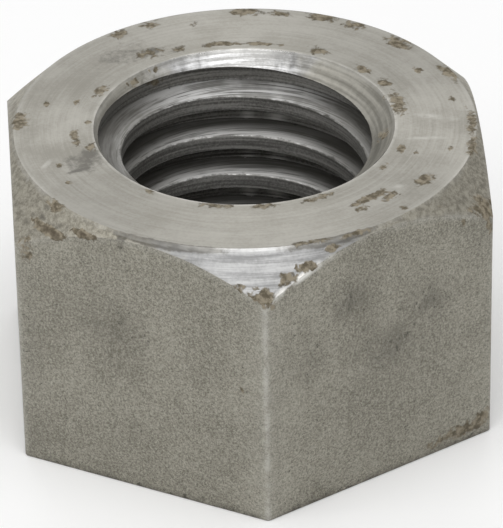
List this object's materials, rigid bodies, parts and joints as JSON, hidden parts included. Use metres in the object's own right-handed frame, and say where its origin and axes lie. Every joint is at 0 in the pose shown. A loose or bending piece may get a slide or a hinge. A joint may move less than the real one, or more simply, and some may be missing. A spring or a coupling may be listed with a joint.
{
  "type": "hex nut",
  "caption": "Heavy steel hexagon nut with a coarse right-hand Acme thread, countersunk ends and a turned, bevelled top face.",
  "frame": {"origin": "where the thread axis meets the flat bearing face", "axes": "+Z along the thread axis, from the bearing face up to the bevelled top face; +X square to a flat, so one corner points to -Y"},
  "size_m": [0.0508, 0.0586, 0.0318],
  "materials": {
    "steel": "plain uncoated machined steel: turned top face, dull blasted flats, light surface rust"
  },
  "bodies": {
    "root": {"hex_nut": "steel"}
  },
  "joints": []
}
